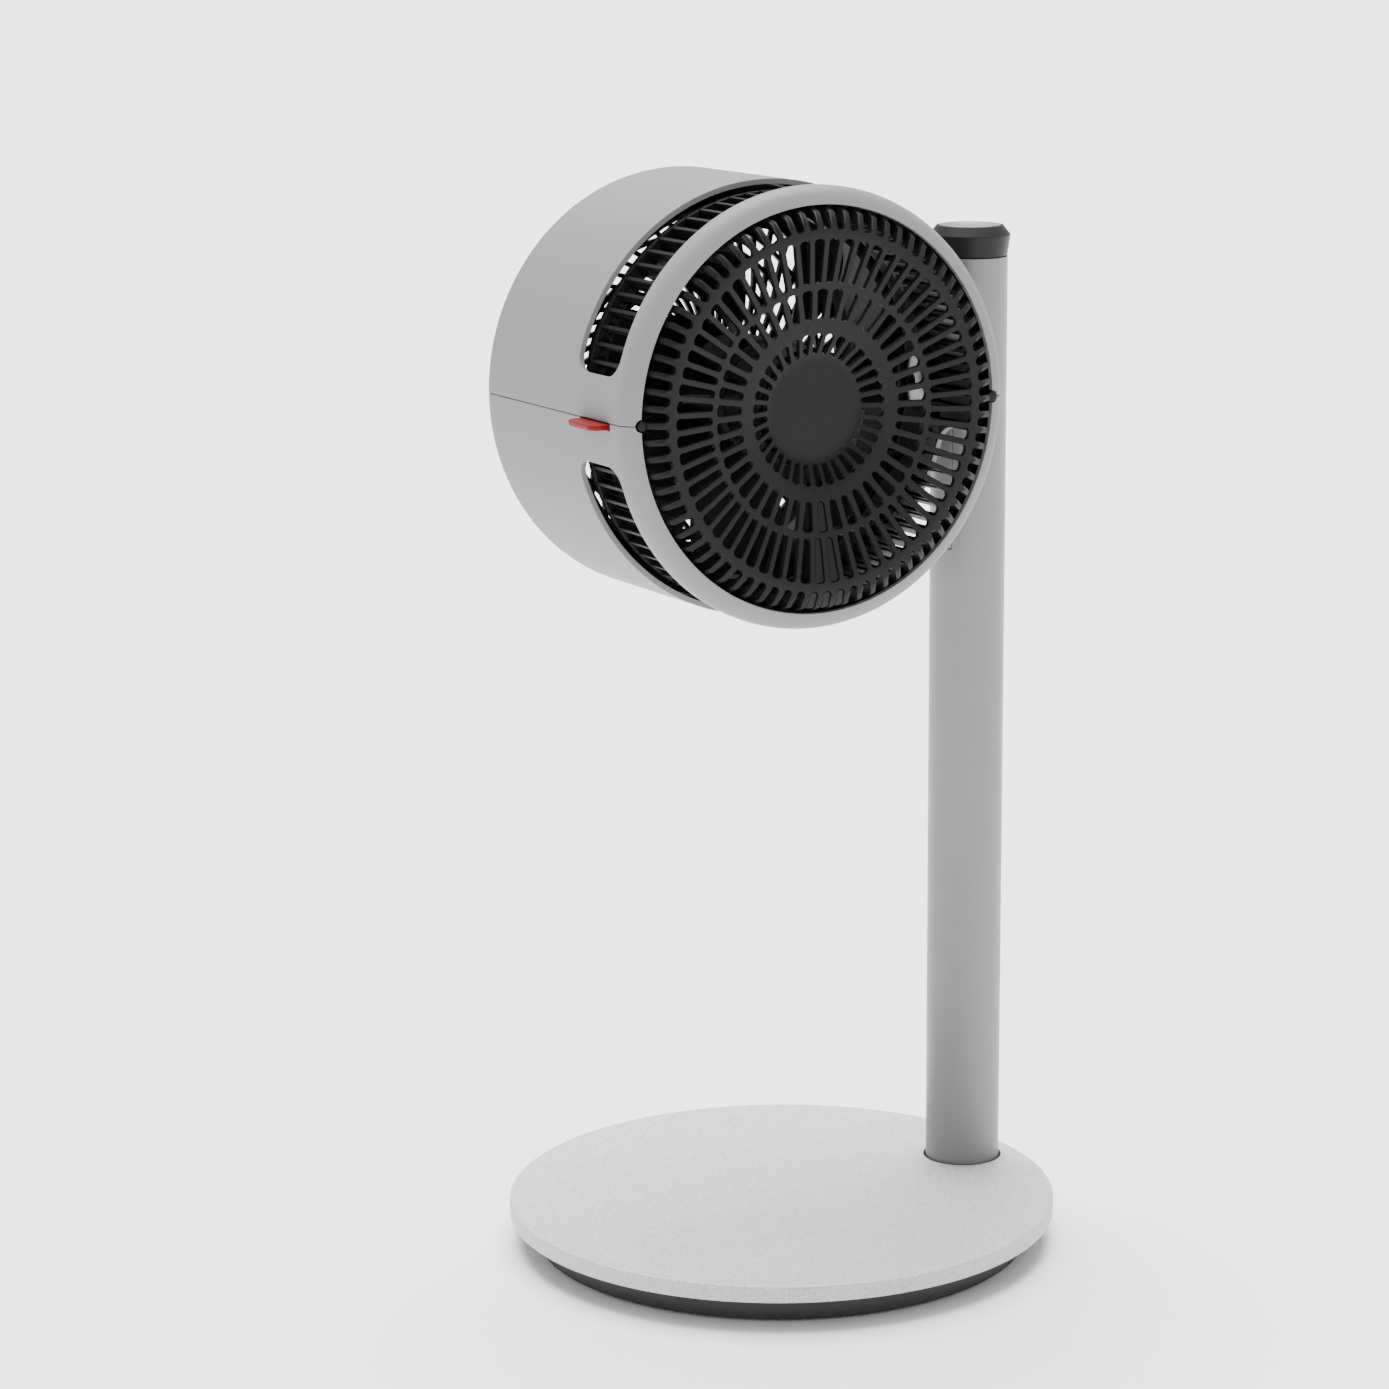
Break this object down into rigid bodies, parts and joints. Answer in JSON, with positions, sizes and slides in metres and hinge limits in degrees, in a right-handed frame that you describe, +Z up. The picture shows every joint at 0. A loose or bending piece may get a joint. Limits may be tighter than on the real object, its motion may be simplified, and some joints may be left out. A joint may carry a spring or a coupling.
{
  "type": "desk fan",
  "caption": "Desk fan: a drum-shaped head with a dished slotted grille beside a round pole that swivels on a flat disc base, with a dial on the pole's top.",
  "frame": {"origin": "centre of the round base, on the surface that the fan stands on", "axes": "+Z up, +X from the base's centre towards the pole, -Y the way the head faces and blows at rest"},
  "size_m": [0.26, 0.26, 0.5046],
  "materials": {
    "silver_paint": "fine-grained light silver powder coat",
    "silver_plastic": "satin light silver plastic",
    "black_plastic": "satin black plastic",
    "steel": "turned steel",
    "bronze": "oiled bronze",
    "rubber": "matt rubber",
    "copper": "lacquered copper winding",
    "red_plastic": "satin signal red plastic",
    "board": "green circuit board"
  },
  "bodies": {
    "base": {"base_plate": "silver_paint", "base_foot": "black_plastic", "base_chassis": "black_plastic", "power_inlet": "black_plastic", "power_board": "board", "swivel_bush": "bronze", "thrust_washer": "bronze", "foot_pad_1": "rubber", "foot_pad_2": "rubber", "foot_pad_3": "rubber", "foot_pad_4": "rubber", "foot_pad_5": "rubber", "base_screw_1": "steel", "base_screw_2": "steel", "base_screw_3": "steel", "base_screw_4": "steel"},
    "pole": {"pole_foot": "steel", "pole_tube": "silver_paint", "pole_cover": "silver_plastic", "tilt_bracket": "steel", "control_board": "board", "knob_mount": "black_plastic", "press_switch": "black_plastic"},
    "speed_knob": {"knob_ring": "black_plastic"},
    "power_button": {"knob_cap": "silver_plastic"},
    "head": {"lower_shell": "silver_plastic", "front_grille": "black_plastic", "cable_duct": "black_plastic", "rear_grille": "black_plastic", "fan_shroud": "black_plastic", "tilt_axle": "steel", "tilt_collar": "black_plastic", "friction_washer": "bronze", "tilt_nut": "steel", "motor_plate": "black_plastic", "motor_housing": "black_plastic", "motor_stator": "copper", "front_bearing": "steel", "rear_bearing": "steel", "side_guard_1": "black_plastic", "side_guard_2": "black_plastic", "side_guard_3": "black_plastic", "side_guard_4": "black_plastic", "side_guard_5": "black_plastic", "side_guard_6": "black_plastic", "side_guard_7": "black_plastic", "side_guard_8": "black_plastic"},
    "top_cover": {"upper_shell": "silver_plastic"},
    "latch": {"release_latch": "red_plastic"},
    "fan_wheel": {"impeller": "black_plastic", "motor_shaft": "steel", "motor_rotor": "steel", "impeller_nut": "steel"}
  },
  "joints": [
    {"name": "pole_swivel", "type": "hinge", "parent": "base", "child": "pole", "pos_m": [0.1036, 0, 0.02], "axis": [0, 0, 1], "range_deg": [-90, 90]},
    {"name": "knob_turn", "type": "hinge", "parent": "pole", "child": "speed_knob", "pos_m": [0.1036, 0, 0.47], "axis": [0, 0, 1], "range_deg": [-150, 150]},
    {"name": "button_press", "type": "slide", "parent": "pole", "child": "power_button", "axis": [0, 0, -1], "range_m": [0, 0.0015], "stiffness_N_per_m": 900, "springref_m": -0.0004},
    {"name": "head_tilt", "type": "hinge", "parent": "pole", "child": "head", "pos_m": [-0.0173, 0, 0.406], "axis": [1, 0, 0], "range_deg": [-90, 35]},
    {"name": "cover_lift", "type": "slide", "parent": "head", "child": "top_cover", "axis": [0, 0, 1], "range_m": [0, 0.13]},
    {"name": "latch_press", "type": "slide", "parent": "head", "child": "latch", "axis": [1, 0, 0], "range_m": [0, 0.003], "stiffness_N_per_m": 900, "springref_m": -0.0005},
    {"name": "fan_spin", "type": "hinge", "parent": "head", "child": "fan_wheel", "pos_m": [-0.0173, 0, 0.406], "axis": [0, 1, 0], "continuous": true}
  ]
}
